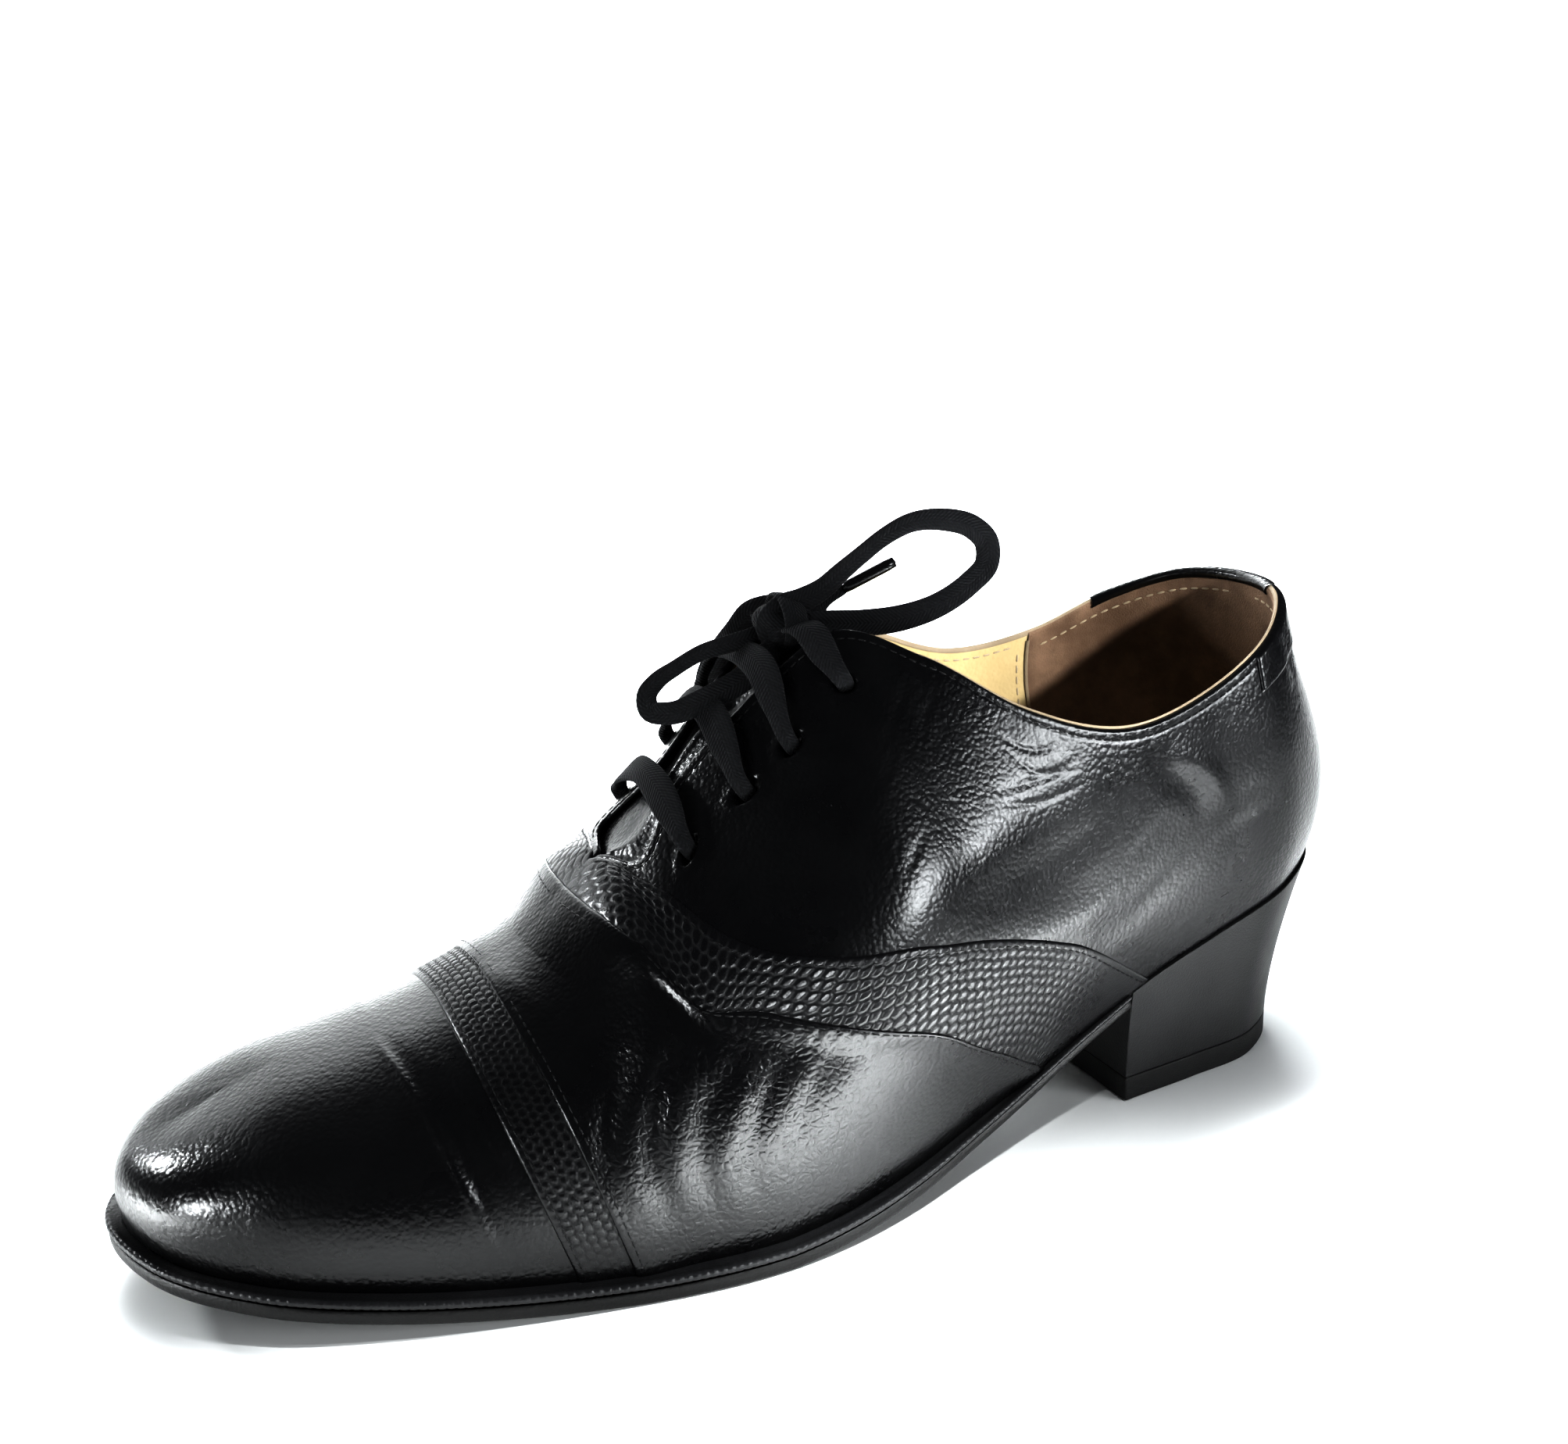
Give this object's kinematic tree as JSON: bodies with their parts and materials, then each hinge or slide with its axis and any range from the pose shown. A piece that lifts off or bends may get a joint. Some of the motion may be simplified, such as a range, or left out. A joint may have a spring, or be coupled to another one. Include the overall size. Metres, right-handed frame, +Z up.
{
  "type": "dress shoe",
  "caption": "Lace-up dress shoe for the left foot: round toe, lizard-pattern bands on toe and sides, low collar, flat lace tied in a bow, thin welted sole, block heel.",
  "frame": {"origin": "on the floor under the middle of the shoe's length and width, laces left out", "axes": "+X towards the toe, +Y towards the outer side of the foot, +Z up"},
  "size_m": [0.295, 0.1016, 0.1427],
  "materials": {
    "kid_leather": "polished black kid leather with a fine grain",
    "lizard_leather": "black leather embossed with small scales",
    "sole_leather": "black dyed sole leather, satin edge",
    "heel_stack": "black satin heel cover",
    "rubber": "matte black rubber",
    "lining_leather": "tan lining leather",
    "lace_cotton": "matte black woven cotton",
    "aglet": "glossy black tip"
  },
  "bodies": {
    "root": {"outsole": "sole_leather", "welt": "sole_leather", "heel_block": "heel_stack", "top_lift": "rubber", "insole": "lining_leather", "upper": "kid_leather", "wing_band": "lizard_leather", "toe_band": "lizard_leather", "back_stay": "kid_leather", "tongue": "kid_leather", "lace_bar_1": "lace_cotton", "lace_bar_2": "lace_cotton", "lace_bar_3": "lace_cotton", "lace_leg_outer": "lace_cotton", "lace_leg_inner": "lace_cotton", "lace_knot": "lace_cotton", "lace_loop_back": "lace_cotton", "lace_loop_front": "lace_cotton", "lace_end_outer": "lace_cotton", "lace_end_inner": "lace_cotton", "lace_tip_outer": "aglet", "lace_tip_inner": "aglet"}
  },
  "joints": []
}
